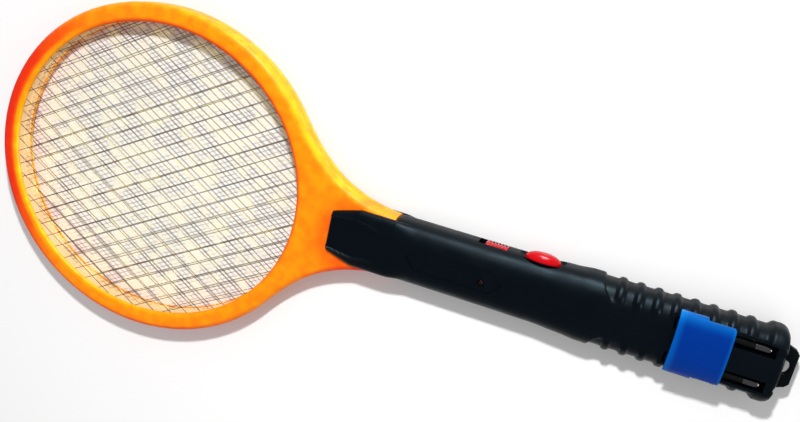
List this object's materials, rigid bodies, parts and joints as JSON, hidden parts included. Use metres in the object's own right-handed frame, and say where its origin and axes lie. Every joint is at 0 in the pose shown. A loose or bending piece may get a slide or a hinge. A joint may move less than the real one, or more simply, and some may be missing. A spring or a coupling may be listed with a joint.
{
  "type": "electric fly swatter",
  "caption": "Racket-shaped insect killer: oval frame with layered wire grids on a ribbed handle, with a slide switch, a push button and a slide-out charging plug.",
  "frame": {"origin": "centre of the underside of the bounding box, with the swatter lying on its back", "axes": "+X from the head towards the hanging loop, +Y towards the edge with the switch and the button, +Z out of the front face"},
  "size_m": [0.4732, 0.1958, 0.0308],
  "materials": {
    "frame": "satin moulded orange",
    "grid_wire": "fine drawn wire, dull",
    "spacer": "plain moulded",
    "handle_shell": "satin moulded black",
    "loop": "moulded black",
    "red_plastic": "glossy moulded red",
    "blue_plastic": "glossy moulded blue",
    "pin_metal": "bright nickel plate",
    "pin_sleeve": "insulating sleeve",
    "contact_metal": "spring brass",
    "spring_steel": "bright spring wire",
    "screw_steel": "zinc-plated",
    "cell": "shrink-wrapped cell",
    "tie_plate": "nickel strip",
    "board": "phenolic board",
    "ferrite": "ferrite",
    "winding": "lacquered copper winding",
    "dark_component": "moulded component",
    "capacitor_case": "resin-dipped",
    "capacitor_brown": "resin-dipped",
    "resistor_body": "lacquered",
    "switch_can": "pressed steel can",
    "plunger": "moulded",
    "lens_red": "clear red resin",
    "lead_red": "PVC insulation",
    "lead_black": "PVC insulation"
  },
  "bodies": {
    "handle": {"front_frame": "frame", "rear_frame": "frame", "front_guard_grid": "grid_wire", "centre_grid": "grid_wire", "rear_guard_grid": "grid_wire", "front_spacer_ring": "spacer", "rear_spacer_ring": "spacer", "front_shell": "handle_shell", "rear_shell": "handle_shell", "hang_loop": "loop", "slide_switch_body": "switch_can", "push_switch_body": "dark_component", "button_spring": "spring_steel", "plug_contact_left": "contact_metal", "plug_contact_right": "contact_metal", "battery_cell_1": "cell", "battery_cell_2": "cell", "cell_tie_plate": "tie_plate", "circuit_board": "board", "transformer_core": "ferrite", "transformer_winding": "winding", "transistor": "dark_component", "high_voltage_capacitor": "capacitor_brown", "charge_capacitor": "capacitor_case", "rectifier_diode_1": "dark_component", "rectifier_diode_2": "dark_component", "rectifier_diode_3": "dark_component", "bleed_resistor": "resistor_body", "charge_light": "lens_red", "shell_screw_1": "screw_steel", "shell_screw_2": "screw_steel", "shell_screw_3": "screw_steel", "shell_screw_4": "screw_steel", "neck_screw_1": "screw_steel", "neck_screw_2": "screw_steel", "high_voltage_lead": "lead_red", "front_guard_lead": "lead_black", "rear_guard_lead": "lead_black", "cell_lead_positive": "lead_red", "cell_lead_negative": "lead_black", "plug_lead_left": "lead_red", "plug_lead_right": "lead_black"},
    "switch": {"switch_knob": "red_plastic"},
    "button": {"push_button": "red_plastic", "push_switch_plunger": "plunger"},
    "plug": {"plug_slider": "blue_plastic", "plug_pin_left": "pin_metal", "plug_pin_right": "pin_metal", "pin_sleeve_left": "pin_sleeve", "pin_sleeve_right": "pin_sleeve"}
  },
  "joints": [
    {"name": "power_switch_slide", "type": "slide", "parent": "handle", "child": "switch", "axis": [-1, 0, 0], "range_m": [0, 0.0034]},
    {"name": "button_press", "type": "slide", "parent": "handle", "child": "button", "axis": [0, -1, 0], "range_m": [0, 0.0018], "stiffness_N_per_m": 300, "springref_m": -0.001, "deforming": ["button_spring"]},
    {"name": "plug_slide", "type": "slide", "parent": "handle", "child": "plug", "axis": [1, 0, 0], "range_m": [0, 0.025]}
  ]
}
